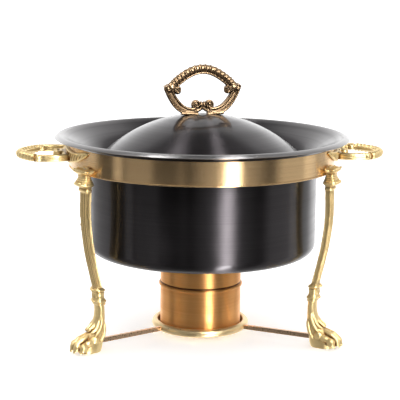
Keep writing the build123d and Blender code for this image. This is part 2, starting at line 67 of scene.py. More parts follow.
def make_camera():
    """Camera at the photograph's height, distance and tilt."""
    data = bpy.data.cameras.new("camera")
    data.lens, data.sensor_width = LENS, SENSOR
    data.clip_start, data.clip_end = 0.05, 50.0
    cam = bpy.data.objects.new("camera", data)
    bpy.context.scene.collection.objects.link(cam)
    turn = Matrix.Rotation(-VIEW_TURN, 4, "Z") @ Matrix.Rotation(math.pi / 2 - PITCH, 4, "X")
    cam.matrix_world = Matrix.Translation(CAMERA_AT) @ turn @ Matrix.Rotation(ROLL, 4, "Z")
    bpy.context.scene.camera = cam


# ---- node material helpers ----
class Nodes:
    """Short hand for building the node tree of a material or of the world."""

    def __init__(self, name, world=None):
        self.mat = world or bpy.data.materials.new(name)
        self.mat.use_nodes = True
        self.tree = self.mat.node_tree
        self.bsdf = self.tree.nodes.get("Principled BSDF")

    def add(self, kind, **values):
        """New node; each value is one of its settings or else one of its inputs."""
        node = self.tree.nodes.new(kind)
        for key, value in values.items():
            if hasattr(node, key):
                setattr(node, key, value)
            else:
                node.inputs[key.replace("_", " ")].default_value = value
        return node

    def link(self, a, b):
        """Joins an output to an input."""
        self.tree.links.new(a, b)

    def set(self, **values):
        """Sets inputs of the material's shader to constants."""
        for key, value in values.items():
            self.bsdf.inputs[key.replace("_", " ")].default_value = value

    def place(self):
        """X, Y and Z in the object's own frame."""
        split = self.add("ShaderNodeSeparateXYZ")
        self.link(self.add("ShaderNodeTexCoord").outputs["Object"], split.inputs[0])
        return split.outputs

    def radius(self):
        """Distance from the Z axis."""
        x, y, _ = self.place()
        squares = [self.math("MULTIPLY", value, value) for value in (x, y)]
        return self.math("SQRT", self.math("ADD", *squares))

    def cylinder_coordinates(self, around, along):
        """Vector of (angle, height, radius) about the Z axis, the last two scaled alike."""
        x, y, z = self.place()
        joined = self.add("ShaderNodeCombineXYZ")
        rows = ((self.math("ARCTAN2", y, x), around), (z, along), (self.radius(), along))
        for slot, (source, scale) in enumerate(rows):
            self.link(self.math("MULTIPLY", source, scale), joined.inputs[slot])
        return joined.outputs[0]

    def noise(self, scale, detail=2.0, roughness=0.5, vector=None):
        """Noise in the object's own frame, or at another vector."""
        node = self.add("ShaderNodeTexNoise", Scale=scale, Detail=detail, Roughness=roughness)
        if vector is None:
            vector = self.add("ShaderNodeTexCoord").outputs["Object"]
        self.link(vector, node.inputs["Vector"])
        return node.outputs["Fac"]

    def levels(self, source, low, high, to_low=0.0, to_high=1.0):
        """Source stretched from low..high to to_low..to_high, and held there outside it."""
        node = self.add("ShaderNodeMapRange")
        for index, value in enumerate((low, high, to_low, to_high)):
            node.inputs[index + 1].default_value = value
        self.link(source, node.inputs[0])
        return node.outputs[0]

    def math(self, operation, a, b=None):
        """One step of arithmetic; each term is a number or another node's output."""
        node = self.add("ShaderNodeMath", operation=operation)
        for value, socket in ((a, node.inputs[0]), (b, node.inputs[1])):
            if hasattr(value, "is_output"):
                self.link(value, socket)
            elif value is not None:
                socket.default_value = value
        return node.outputs[0]

    def window(self, source, low, high, soft):
        """1 between low and high, 0 outside, with soft edges."""
        rise = self.levels(source, low - soft, low + soft)
        fall = self.levels(source, high + soft, high - soft)
        return self.math("MULTIPLY", rise, fall)

    def mix(self, factor, a, b):
        """Colour from a at factor 0 to b at factor 1; a and b are colours or outputs."""
        node = self.add("ShaderNodeMix", data_type="RGBA")
        self.link(factor, node.inputs[0])
        for value, socket in ((a, node.inputs[6]), (b, node.inputs[7])):
            if hasattr(value, "is_output"):
                self.link(value, socket)
            else:
                socket.default_value = (*value, 1)
        return node.outputs[2]

    def bump(self, height, strength, distance):
        """Normal that follows small heights."""
        node = self.add("ShaderNodeBump", Strength=strength, Distance=distance)
        self.link(height, node.inputs["Height"])
        return node.outputs[0]

    def to(self, source, socket):
        """Joins an output to an input of the material's shader."""
        self.link(source, self.bsdf.inputs[socket])


# cells of noise to a radian round the dish, and to a metre up it and out from its axis
RINGS = (0.6, 900.0)            # the fine rings of brushed metal
GLOSS = (0.35, 108.0)           # the slow change in how rough they are
SEAM_SHADOW_EDGE = 0.3                 # softness of the painted shadow line in a seam, in millimetres
RECESS = 0.005                  # how far the painted shade in a casting's recesses reaches, in metres


def brushed(name, color, dark, rough, relief, coat=0.0, rim=None, seam_shadow=None, metallic=1.0):
    """Metal brushed round the dish: fine rings that stretch its highlights up and down."""
    n = Nodes(name)
    fine = n.noise(1.0, 3.0, 0.7, n.cylinder_coordinates(*RINGS))
    slow = n.noise(1.0, 2.0, 0.5, n.cylinder_coordinates(*GLOSS))
    tone = n.mix(n.levels(fine, 0.3, 0.7), dark, color)
    if rim:         # painted reflection on the rim: radius where it starts, radius where it is palest, its colour
        start, full, pale = rim
        tone = n.mix(n.levels(n.radius(), start * MM, full * MM), tone, pale)
    if seam_shadow:        # painted shadow line in a seam: its lower and upper height, and its colour
        low, high, shade = seam_shadow
        height = n.math("MULTIPLY", n.place()[2], 1 / MM)
        tone = n.mix(n.window(height, low, high, SEAM_SHADOW_EDGE), tone, shade)
    n.to(tone, "Base Color")
    n.to(n.levels(slow, 0.25, 0.75, rough * 0.85, rough * 1.18), "Roughness")
    n.to(n.bump(fine, relief, 0.0004), "Normal")
    n.set(Metallic=metallic, Anisotropic=1.0, Anisotropic_Rotation=0.25)
    if coat:
        n.set(Coat_Weight=coat, Coat_Roughness=0.05, Coat_IOR=1.33)
    tangent = n.add("ShaderNodeTangent", direction_type="RADIAL", axis="Z")
    n.to(tangent.outputs[0], "Tangent")
    return n.mat


def cast(name, bright, deep, rough, metallic, coat=0.0):
    """Polished casting: painted shade in its recesses and creases, which on the antique brass is also
    its patina; random mottle and a slight casting ripple.
    """
    n = Nodes(name)
    # ambient occlusion and concave pointiness give painted shade in recesses and creases
    shape = n.add("ShaderNodeNewGeometry").outputs["Pointiness"]
    hollow = n.add("ShaderNodeAmbientOcclusion", samples=8, only_local=True, Distance=RECESS)
    open_air = n.levels(hollow.outputs["AO"], 0.50, 0.96)
    edge = n.levels(shape, 0.43, 0.505, 0.25, 1.0)
    mottle = n.noise(180.0, 3.0, 0.6)
    shade_and_mottle = n.math("MULTIPLY", n.math("MULTIPLY", open_air, edge), n.levels(mottle, 0.2, 0.6, 0.9, 1.0))
    n.to(n.mix(shade_and_mottle, deep, bright), "Base Color")
    n.to(n.levels(mottle, 0.3, 0.7, rough * 0.85, rough * 1.2), "Roughness")
    n.to(n.bump(n.noise(420.0, 2.0), 0.06, 0.0003), "Normal")
    n.set(Metallic=metallic, Coat_Weight=coat, Coat_Roughness=0.15)
    return n.mat


def plain_metal(name, color, rough):
    """Plain satin metal with a fine speckle."""
    n = Nodes(name)
    speck = n.noise(500.0, 3.0, 0.6)
    n.to(n.mix(n.levels(speck, 0.3, 0.7), tuple(c * 0.86 for c in color), color), "Base Color")
    n.to(n.levels(speck, 0.3, 0.7, rough * 0.8, rough * 1.25), "Roughness")
    n.to(n.bump(speck, 0.05, 0.0002), "Normal")
    n.set(Metallic=1.0)
    return n.mat


def gel(name):
    """Cloudy pink fuel gel."""
    n = Nodes(name)
    cloud = n.noise(60.0, 4.0)
    n.to(n.mix(n.levels(cloud, 0.3, 0.7), (0.55, 0.12, 0.22), (0.72, 0.26, 0.36)), "Base Color")
    n.to(n.bump(cloud, 0.2, 0.002), "Normal")
    n.set(Roughness=0.18, Subsurface_Weight=0.4, IOR=1.36)
    return n.mat


# ---- mesh helpers, in millimetres ----
def curve_through(points, count):
    """Points along a smooth Catmull-Rom curve through rows of numbers."""
    p = np.array(points, float)
    p = np.vstack([2 * p[0] - p[1], p, 2 * p[-1] - p[-2]])
    t = np.linspace(0, len(p) - 3 - 1e-9, count)
    i = t.astype(int)
    f = (t - i)[:, None]
    a, b, c, d = p[i], p[i + 1], p[i + 2], p[i + 3]
    return 0.5 * (2 * b + (c - a) * f + (2 * a - 5 * b + 4 * c - d) * f ** 2
                  + (3 * b - a - 3 * c + d) * f ** 3)


def unit(v):
    """Rows of v, each made one long."""
    return v / np.maximum(np.linalg.norm(v, axis=-1, keepdims=True), 1e-9)


SOFTEN = 0.45                   # strength of one round of smoothing
HANDLE_VOXEL, LEG_VOXEL = 0.42, 0.40


class Casting:
    """Closed overlapping shells that are fused into one surface."""

    def __init__(self):
        self.verts, self.faces, self.count = [], [], 0

    def shell(self, verts, faces):
        """Takes in one closed shell."""
        self.verts.append(np.asarray(verts, float))
        self.faces += [tuple(i + self.count for i in f) for f in faces]
        self.count += len(verts)

    def loft(self, rings):
        """Closed shell through rings of points, all of one length."""
        rings = np.asarray(rings, float)
        n, m = rings.shape[:2]
        verts = np.vstack([rings.reshape(-1, 3), rings[0].mean(0), rings[-1].mean(0)])
        faces = []
        for i in range(n - 1):
            for j in range(m):
                k = (j + 1) % m
                faces.append((i * m + j, i * m + k, (i + 1) * m + k, (i + 1) * m + j))
        for j in range(m):
            k = (j + 1) % m
            faces.append((n * m, k, j))
            faces.append((n * m + 1, (n - 1) * m + j, (n - 1) * m + k))
        self.shell(verts, faces)

    def tube(self, path, across, deep=None, up=(0, 0, 1), sides=20, shape=None):
        """Bar along a path. Across and deep are its half sizes beside and along up."""
        path = np.asarray(path, float)
        n = len(path)
        along = unit(np.gradient(path, axis=0))
        up = np.broadcast_to(np.asarray(up, float), path.shape)
        side = unit(np.cross(up, along))
        over = unit(np.cross(along, side))
        across = np.broadcast_to(np.asarray(across, float), (n,))
        deep = across if deep is None else np.broadcast_to(np.asarray(deep, float), (n,))
        turn = np.linspace(0, 2 * math.pi, sides, endpoint=False)
        gain = np.ones((n, sides))
        if shape:                   # shape: half sizes' factor by share of the path and turn
            gain = shape(np.linspace(0, 1, n)[:, None], turn[None, :])
        c = (across[:, None] * gain * np.cos(turn))[:, :, None] * side[:, None, :]
        s = (deep[:, None] * gain * np.sin(turn))[:, :, None] * over[:, None, :]
        self.loft(path[:, None, :] + c + s)

    def strand(self, points, count, halves, stops=(0, 1), sides=16):
        """Round bar along a smooth curve, with the given half sizes at stops along it."""
        half = np.interp(np.linspace(0, 1, count), stops, halves)
        self.tube(curve_through(points, count), half, sides=sides)

    def ball(self, centre, half):
        """Ellipsoid with half sizes along X, Y and Z; its poles are cut a little flat."""
        t = np.linspace(0, 2 * math.pi, 20, endpoint=False)
        rows = []
        for a in np.linspace(0.12, math.pi - 0.12, 11):
            r, z = math.sin(a), -math.cos(a)
            ring = np.stack([r * np.cos(t), r * np.sin(t), np.full_like(t, z)], 1)
            rows.append(ring * half + centre)
        self.loft(rows)

    def spiral(self, centre, start, turns, r0, r1, thick0, thick1, deep, sense=1):
        """Flat scroll in the XY plane that winds in from radius r0 to r1; sense is its hand."""
        t = np.linspace(0, 1, int(46 * turns))
        a = start + sense * t * turns * 2 * math.pi
        r = r0 + (r1 - r0) * t ** 0.85
        path = np.stack([centre[0] + r * np.cos(a), centre[1] + r * np.sin(a), np.zeros_like(t)], 1)
        self.tube(path, thick0 + (thick1 - thick0) * t, deep, sides=14)

    def include(self, other):
        """Takes in another casting's shells."""
        for verts in other.verts:
            self.verts.append(verts)
        self.faces += [tuple(i + self.count for i in f) for f in other.faces]
        self.count += other.count

    def include_mirrored(self, other, axis=0):
        """Takes in another casting's shells, mirrored across one axis."""
        flip = np.ones(3)
        flip[axis] = -1
        for verts in other.verts:
            self.verts.append(verts * flip)
        self.faces += [tuple(i + self.count for i in reversed(f)) for f in other.faces]
        self.count += other.count

    def bend(self, how):
        """Moves every point by a function of its place."""
        self.verts = [how(v) for v in self.verts]

    def fused(self, name, voxel, rounds):
        """One mesh round all the shells, smoothed by some rounds, in metres."""
        mesh = bpy.data.meshes.new(name)
        mesh.from_pydata(np.vstack(self.verts).tolist(), [], self.faces)
        piece = bpy.data.objects.new(name + "_raw", mesh)
        bpy.context.scene.collection.objects.link(piece)
        remesh = piece.modifiers.new("fuse", "REMESH")
        remesh.mode, remesh.voxel_size = "VOXEL", voxel
        soften = piece.modifiers.new("soften", "SMOOTH")
        soften.factor, soften.iterations = SOFTEN, rounds
        view = bpy.context.evaluated_depsgraph_get()
        done = bpy.data.meshes.new_from_object(piece.evaluated_get(view))
        bpy.data.objects.remove(piece)
        bpy.data.meshes.remove(mesh)
        done.name = name
        done.transform(Matrix.Scale(MM, 4))
        done.polygons.foreach_set("use_smooth", [True] * len(done.polygons))
        return done


# ---- scrolled handles: X across, Y from the base to the grip, Z through the casting ----
# arm: across, up and half width; bud and volute: centre and size; rope: distance outside the
# grip's middle line, half size, turns, depth and sharpness; ribs: distance, half width, depth
LID_STYLE = {
    "arm": [(38.5, 26.5, 4.0), (35.0, 19.5, 4.2), (30.0, 12.0, 4.4), (24.0, 6.2, 4.4),
            (17.0, 3.4, 4.0), (10.0, 3.0, 3.4)],
    "knob": 1.15, "bud": ((28.6, 25.9), 4.6), "volute": ((7.2, 10.4), 5.0),
    "rope": (1.0, 4.8, 17, 0.16, 6.0), "ribs": [(3.4, 1.7, 2.0), (-4.0, 1.4, 2.8)],
}
SIDE_STYLE = {                      # its arms run almost straight in to the band
    "arm": [(37.5, 27.5, 3.6), (38.5, 20, 3.5), (38.6, 12, 3.3), (37.0, 5, 3.2),
            (33.5, -1.5, 3.0), (28, -5.5, 2.6)],
    "knob": 0.8, "bud": ((31.8, 26.4), 2.6), "volute": ((6.6, 9.7), 4.0),
    "rope": (1.1, 4.6, 14, 0.32, 0.8), "ribs": [(-3.4, 1.2, 2.0)],
}
# right half of the grip's middle line, from the corner up, and its highest point
GRIP_RIGHT = [(33.5, 30.8), (30.0, 34.6), (24.5, 39.0), (17.5, 43.6), (9.0, 47.3)]
GRIP_TOP = (0, 48.6)


def beside(path):
    """Direction across a path that lies in the XY plane."""
    return np.cross((0, 0, 1), unit(np.gradient(path, axis=0)))


def rope(part, path, half, turns, depth, sharp):
    """Twisted bar: low sharpness gives round strands, high gives thin ridges."""
    def twist(s, turn):
        wave = np.abs(np.cos((turn + 2 * math.pi * turns * s) / 2))
        return 1 - depth * (1 - wave ** sharp)
    part.tube(path, half, sides=48, shape=twist)


def half_handle(style):
    """Right half of a handle: arm, corner knob, bud and volute."""
    part = Casting()
    line = curve_through(style["arm"], 60)
    path = np.column_stack([line[:, :2], np.zeros(len(line))])
    part.tube(path, line[:, 2], 2.6, sides=24)
    for s in (-1, 1):               # raised rims on both faces of the arm
        rim = path + beside(path) * (line[:, 2:3] - 1.1) * s
        for z in (-2.4, 2.4):
            part.tube(rim + (0, 0, z), 1.25, sides=12)
    # corner knob with a curled leaf outside and a bud inside
    knob = style["knob"]
    part.ball((39.6, 28.3, 0), (3.7 * knob, 4.2 * knob, 4.4 * knob))
    part.ball((35.0, 28.8, 0), (5.6 * knob, 5.0 * knob, 4.3 * knob))
    bud, size = style["bud"]
    part.ball((*bud, 0), (size, size, size * 0.8))
    part.spiral(bud, 2.6, 1.2, size * 0.85, 1.3, 1.2, 0.8, size * 0.95, -1)
    part.spiral((39.4, 28.2), 0.3, 0.9, 3.4 * knob, 1.2, 1.0, 0.7, 4.9 * knob)
    # volute beside the middle
    centre, size = style["volute"]
    part.ball((*centre, 0), (size, size, 2.0))
    part.spiral(centre, -0.5 * math.pi, 1.6, size, 1.2, 1.6, 0.9, 3.6)
    part.ball((*centre, 0), (1.5, 1.5, 4.0))
    part.ball((1.6, 9.4, 0), (2.0, 4.4, 3.0))
    return part


def whole_handle(style):
    """Both halves of a handle and the roped grip between them."""
    part = Casting()
    half = half_handle(style)
    part.include(half)
    part.include_mirrored(half)
    flat = curve_through([(-x, y) for x, y in GRIP_RIGHT] + [GRIP_TOP] + GRIP_RIGHT[::-1], 160)
    path = np.column_stack([flat, np.zeros(len(flat))])
    outside, *twist = style["rope"]
    rope(part, path + beside(path) * outside, *twist)
    for outside, across, deep in style["ribs"]:
        part.tube(path + beside(path) * outside, across, deep, sides=16)
    return part


def lid_handle_mesh():
    """Lid handle on its foot, with the web over the notch in the middle."""
    part = whole_handle(LID_STYLE)
    for s in (-1, 1):
        foot = [(s * 24.0, 0.8, 0), (s * 14.0, 0.6, 0), (s * 5.2, 0.0, 0)]
        part.tube(curve_through(foot, 20), 2.0, 3.8, sides=16)
        web = [(s * 20.0, 2.4, 0), (s * 11.0, 3.2, 0), (s * 4.8, 4.0, 0), (s * 0.4, 7.0, 0)]
        part.tube(curve_through(web, 24), 2.3, 2.6, sides=16)
    return part.fused("lid_handle_casting", HANDLE_VOXEL, 3)


# half of the winged plate: distance along the band, middle height, half height, thickness
WING = [(-1, 0.6, 7.2, 3.2), (16, 0.6, 7.0, 3.2), (30, 0.6, 6.4, 3.0), (42, 1.4, 5.2, 2.7),
        (54, 2.8, 4.3, 2.4), (66, 5.6, 2.9, 2.0), (74, 8.0, 1.7, 1.5), (78.5, 9.6, 0.5, 0.7)]
VEINS = range(17, 68, 7)            # where its veins start, along the band
VEIN_SLANT = 6                      # how far along the band a vein runs
WING_OFF_BAND = 0.15


def wing():
    """Winged plate as a flat strip: X off the band, Y along it, Z up."""
    part = Casting()
    line = curve_through(WING, 70)
    turn = np.linspace(0, 2 * math.pi, 28, endpoint=False)
    thick = np.abs(np.cos(turn)) ** 0.6 * np.sign(np.cos(turn))
    part.loft([np.column_stack([thick * t, np.full_like(turn, y), z + np.sin(turn) * h])
               for y, z, h, t in line])
    for edge in (-0.86, 0.86):      # raised rims
        rim = np.column_stack([line[:, 3] * 0.75, line[:, 0], line[:, 1] + line[:, 2] * edge])
        part.tube(rim, np.minimum(1.25, line[:, 2] * 0.8), up=(1, 0, 0), sides=12)
    for y in VEINS:                 # slanting veins between the rims
        _, z0, h0, t0 = line[np.argmin(abs(line[:, 0] - y))]
        _, z1, h1, t1 = line[np.argmin(abs(line[:, 0] - y - VEIN_SLANT))]
        low = (t0 * 0.85, y, z0 - h0 * 0.75)
        middle = (t0 + 0.35, y + 0.6 * VEIN_SLANT, (z0 + z1) / 2)
        high = (t1 * 0.85, y + VEIN_SLANT, z1 + h1 * 0.75)
        part.tube(curve_through([low, middle, high], 12), 1.0, up=(1, 0, 0), sides=10)
    whole = Casting()
    whole.include(part)
    whole.include_mirrored(part, 1)
    return whole


def wrap(v):
    """Bends a flat strip round the band."""
    r, turn = BAND_R + WING_OFF_BAND + np.maximum(v[:, 0], 0), v[:, 1] / BAND_R
    return np.column_stack([r * np.cos(turn), r * np.sin(turn), v[:, 2] + HANDLE_Z])


def side_handle_mesh():
    """Side handle with its winged plate, at the right of the dish."""
    part = whole_handle(SIDE_STYLE)
    part.tube([(-34, 0.5, 0), (0, 1.5, 0), (34, 0.5, 0)], 3.6, 3.0)     # bar along the plate
    part.tube([(-9, 4.5, 0), (0, 5.5, 0), (9, 4.5, 0)], 3.0, 3.6)       # boss in its middle
    for s in (-1, 1):               # curled collar where the arm meets the grip
        part.tube([(s * 35.5, 24.5, 0), (s * 41.3, 23.5, 0)], 1.5, 4.0, sides=14)
        part.tube([(s * 34.8, 21.8, 0), (s * 41.3, 21.0, 0)], 1.1, 3.8, sides=14)
    part.bend(lambda v: np.column_stack([HANDLE_FACE_R + v[:, 1], -v[:, 0], HANDLE_Z + v[:, 2]]))
    plate = wing()
    plate.bend(wrap)
    part.include(plate)
    mesh = part.fused("side_handle_casting", HANDLE_VOXEL, 4)
    keep_outside_band(mesh)
    return mesh


OFF_BAND, BELOW_BAND = 0.1, 0.6     # gap to the band's face, and how far below it that holds


def keep_outside_band(mesh):
    """Flattens what would reach into the band against its outer face, and into the floor."""
    co = np.empty(len(mesh.vertices) * 3)
    mesh.vertices.foreach_get("co", co)
    co = co.reshape(-1, 3)
    limit = (BAND_R + OFF_BAND) * MM
    inside = (np.hypot(co[:, 0], co[:, 1]) < limit) & (co[:, 2] > (BAND_LOW - BELOW_BAND) * MM)
    co[inside, 0] = np.sqrt(np.maximum(limit ** 2 - co[inside, 1] ** 2, 0))
    co[:, 2] = np.maximum(co[:, 2], 0)
    mesh.vertices.foreach_set("co", co.ravel())


# ---- legs: X outwards from the axis, Y across, Z up ----
THINNER, BROADER = 0.88, 1.18       # visible shaft against the CAD's depth and width
CROWN = 0.9                         # how far the outer face falls away to its edges
PANEL_SINK = 0.9                    # how deep the side panels are sunk
FLUTE_STEP = 0.45                   # spacing of the five grooves, in half widths of a leg
FLUTE_DEPTH = 1.8
GROOVED = 0.97                      # share of the outer face that can be grooved
FLUTED = (70.0, 174.0)              # heights between which the shaft is fluted
FADE_LOW, FADE_HIGH = 5.0, 2.5      # length over which the grooves fade at those heights
SHAFT_STEPS, SHAFT_RINGS = 90, 70   # steps along the shaft, and how many of them get a ring


def shaft_ring(z, r, depth, width, flute):
    """Outline of the leg's shaft: fluted outer face, sunk side panels, plain back."""
    y = np.linspace(-width / 2, width / 2, 61)
    share = 2 * y / width
    groove = 1 - np.abs(np.sin(math.pi * share / FLUTE_STEP))
    face = depth / 2 - CROWN * share ** 2 - flute * groove * (np.abs(share) < GROOVED)
    t = np.linspace(0, 1, 14)[1:-1]
    fluted = flute > 0.05           # the panels end where the grooves do
    sunk = PANEL_SINK * fluted * np.sin(math.pi * t) ** 0.5
    right = np.column_stack([depth / 2 - CROWN - (depth - CROWN) * t, width / 2 - sunk])
    back = np.column_stack([np.full(10, -depth / 2), np.linspace(width / 2, -width / 2, 10)])
    left = np.column_stack([right[::-1, 0], -right[::-1, 1]])
    flat = np.vstack([np.column_stack([face, y]), right, back, left])
    return np.column_stack([flat[:, 0] + r, flat[:, 1], np.full(len(flat), z)])


def stack(part, rows, power=3.2):
    """Block from level rounded outlines: height, centre, half depth, half width."""
    turn = np.linspace(0, 2 * math.pi, 44, endpoint=False)
    c, s = np.cos(turn), np.sin(turn)
    x, y = np.sign(c) * np.abs(c) ** (2 / power), np.sign(s) * np.abs(s) ** (2 / power)
    part.loft([np.column_stack([r + x * a, y * b, np.full_like(turn, z)]) for z, r, a, b in rows])


def capital(part):
    """Leg head: rings, flared bell with ridges and a roll, and a horned abacus."""
    stack(part, [(173.4, 149.1, 3.6, 7.2), (174.4, 149.1, 4.7, 8.3), (175.6, 149.2, 5.2, 8.7),
                 (176.8, 149.3, 4.7, 8.3), (177.6, 149.4, 4.0, 7.7), (179.0, 149.6, 5.2, 8.6),
                 (180.6, 150.6, 7.9, 10.9), (181.8, 150.9, 8.7, 11.7), (182.8, 150.8, 7.7, 10.6),
                 (183.8, 150.6, 7.9, 10.8), (184.7, 150.4, 6.6, 9.4), (185.8, 150.3, 6.8, 9.6),
                 (186.7, 150.1, 5.6, 8.4), (187.9, 150.0, 5.8, 8.6), (188.9, 149.9, 4.9, 7.6),
                 (190.4, 150.0, 5.3, 8.0), (191.4, 150.0, 4.9, 7.4), (192.4, 150.0, 5.6, 8.6),
                 (193.6, 150.2, 6.8, 11.4), (194.8, 150.5, 7.8, 13.4), (195.8, 150.2, 6.9, 12.2),
                 (196.8, 150.3, 7.4, 12.8), (197.8, 150.0, 5.8, 11.0)])
    roll = [(157.0, -6.4, 182.4), (159.2, 0, 183.4), (157.0, 6.4, 182.4)]
    part.tube(curve_through(roll, 24), 1.8, sides=16)      # roll of the flared bell
    for s in (-1, 1):                                      # horns and lobes of the abacus
        front = [(153.5, s * 10.0, 195.4), (155.4, s * 12.2, 196.0), (156.6, s * 13.8, 197.2)]
        part.strand(front, 16, (2.2, 0.9), sides=14)
        back = [(150.0, s * 10.5, 195.2), (148.8, s * 13.6, 195.9), (148.4, s * 16.2, 197.4)]
        part.strand(back, 16, (2.1, 0.9), sides=14)
        lobe = [(150.2, s * 8.5, 196.6), (148.8, s * 5.0, 198.2), (148.2, s * 1.2, 198.8)]
        part.strand(lobe, 14, (1.0, 1.4), sides=12)


def knee(part):
    """Waisted knee between two flared collars."""
    stack(part, [(69.6, 135.6, 4.2, 7.2), (68.4, 135.3, 5.9, 8.8), (67.2, 135.1, 6.4, 9.4),
                 (66.2, 134.9, 5.6, 8.5), (65.2, 134.7, 4.8, 7.3), (64.2, 134.6, 5.4, 8.0),
                 (63.2, 134.5, 5.0, 7.7), (61.0, 134.3, 4.6, 7.0), (58.6, 134.1, 4.8, 7.2),
                 (57.0, 134.0, 5.5, 8.0), (55.8, 133.8, 6.4, 9.2), (54.6, 133.7, 6.4, 9.2),
                 (53.6, 133.6, 5.3, 7.8), (52.6, 133.4, 5.4, 7.9), (51.4, 133.3, 5.4, 7.9),
                 (50.4, 133.2, 4.8, 7.1)])
    part.ball((142.0, 0, 68.0), (1.6, 3.4, 1.5))           # beads on the collars and between
    part.ball((140.6, 0, 55.2), (1.4, 3.2, 1.4))
    for y in (-3.6, 0, 3.6):
        part.ball((138.9, y, 61.0), (1.0, 1.3, 3.0))


# toes: across at the root, at the knuckle and at the claw, how far back and how much lower
TOES = ((2.3, 3.0, 3.4, 0.0, 0.0), (6.4, 8.6, 9.6, 4.2, 0.8))
# locks of hair on one side of the paw
LOCKS = (
    ((134.0, 6.4, 39.0), (134.6, 7.2, 33.0), (138.0, 8.2, 24.5), (143.5, 9.2, 18.5)),
    ((136.4, 4.6, 36.5), (138.0, 5.6, 31.0), (141.6, 6.6, 25.0), (147.0, 6.4, 22.6)),
    ((137.4, 1.6, 34.5), (139.6, 2.2, 30.0), (143.8, 2.6, 26.6), (149.0, 1.6, 23.0)),
    ((130.6, 5.0, 34.0), (130.4, 6.4, 27.0), (133.0, 8.0, 17.0), (138.0, 9.2, 10.0)),
)


def toe(part, root, knuckle, claw, back, low):
    """Toe with its knuckle, pad and short claw."""
    line = [(141.0, root * 0.8, 24.0 - 2 * low), (147.0, root, 19.6 - 3 * low),
            (153.0, knuckle, 16.6 - 4 * low), (158.5, knuckle, 13.6 - 3 * low),
            (162.6, claw, 9.2), (163.6, claw, 4.6)]
    part.strand([(x - back, y, z) for x, y, z in line], 30,
                (1.4, 2.6, 3.5, 3.1, 3.8, 3.2), (0, 0.3, 0.5, 0.62, 0.8, 1))
    part.ball((153.4 - back, knuckle, 15.6 - 4 * low), (4.2, 3.2, 3.6))
    part.ball((161.8 - back, claw, 8.0), (4.2, 3.4, 4.6))
    tip = [(164.0 - back, claw, 6.6), (165.8 - back, claw, 4.8), (166.2 - back, claw, 2.8)]
    part.strand(tip, 10, (2.0, 1.2), sides=10)


def paw(part):
    """Plain shin that ends in locks of hair, knuckles, toes and claws on a flat sole."""
    stack(part, [(52.0, 133.3, 4.7, 6.8), (44.0, 132.8, 4.7, 6.8), (37.0, 133.2, 5.2, 7.0),
                 (31.0, 134.4, 6.4, 7.4), (25.0, 136.4, 8.0, 8.0), (18.0, 139.4, 10.0, 9.0),
                 (11.0, 142.6, 12.0, 9.8), (5.0, 144.6, 13.4, 10.2), (0.4, 145.4, 12.6, 9.6)], 2.3)
    part.ball((138.5, 0, 5.0), (7.5, 8.2, 5.0))
    for root, knuckle, claw, back, low in TOES:
        for s in (-1, 1):
            toe(part, s * root, s * knuckle, s * claw, back, low)
    for s in (-1, 1):
        part.ball((143.4, s * 8.8, 14.6), (4.8, 3.4, 4.8))        # side knuckle
        for lock in LOCKS:
            part.strand([(x, s * y, z) for x, y, z in lock], 26,
                        (0.5, 2.0, 1.8, 0.6), (0, 0.45, 0.85, 1), sides=12)


def leg_mesh():
    """Leg on the X axis: fluted shaft, capital, knee and paw."""
    part = Casting()
    low, high = FLUTED
    steps = curve_through(SHAFT, SHAFT_STEPS)
    rings = []
    for z, r, depth, width in steps[np.linspace(0, SHAFT_STEPS - 1, SHAFT_RINGS).astype(int)]:
        fade = np.clip(min((z - low) / FADE_LOW, (high - z) / FADE_HIGH), 0, 1)
        rings.append(shaft_ring(z, r, depth * THINNER, width * BROADER, FLUTE_DEPTH * fade))
    part.loft(rings)
    capital(part)
    knee(part)
    paw(part)
    mesh = part.fused("leg_casting", LEG_VOXEL, 3)
    keep_outside_band(mesh)
    return mesh


# ---- studio ----
# what the metal mirrors round the dish: bearing from the camera's side, positive to the right,
# and height above the horizon, both in degrees, then edge softness and brightness
REFLECTED = [
    ((-200, -136), (-90, 52), 5, 1.35),     # white wall behind, left and right
    ((136, 200), (-90, 52), 5, 1.35),
    ((-134, -100), (-90, 50), 4, 0.60),     # pale screens beside the dish
    ((114, 136), (-90, 50), 4, 0.55),
    ((97, 113), (-90, 50), 3, 0.90),
    ((68, 97), (-90, 50), 5, 0.52),
    ((-80, -71), (-90, 50), 2, 0.55),       # narrow screens at the left
    ((-67, -42), (-90, 20), 3, 0.25),
    ((-20, -15), (-90, 40), 3, 0.10),
    ((-1, 50), (-90, 40), 9, 0.35),         # glow round the window
    ((22, 33), (-66, -28), 1.5, 26.0),      # the window's image in the table
    ((22, 33), (4, 62), 1.5, 20.0),         # the window
    ((-74, -52), (58, 76), 4, 18.0),        # lamp high at the left
    ((-100, 100), (44, 66), 6, 1.5),        # long soft box over the camera
]
DARK_STUDIO = 0.06                          # brightness between those
WHITE_ROOM = (1.15, 1.15, 1.15)             # what everything but a glossy ray sees
FLOOR_HALF = 6.0                            # half the floor's side, in metres


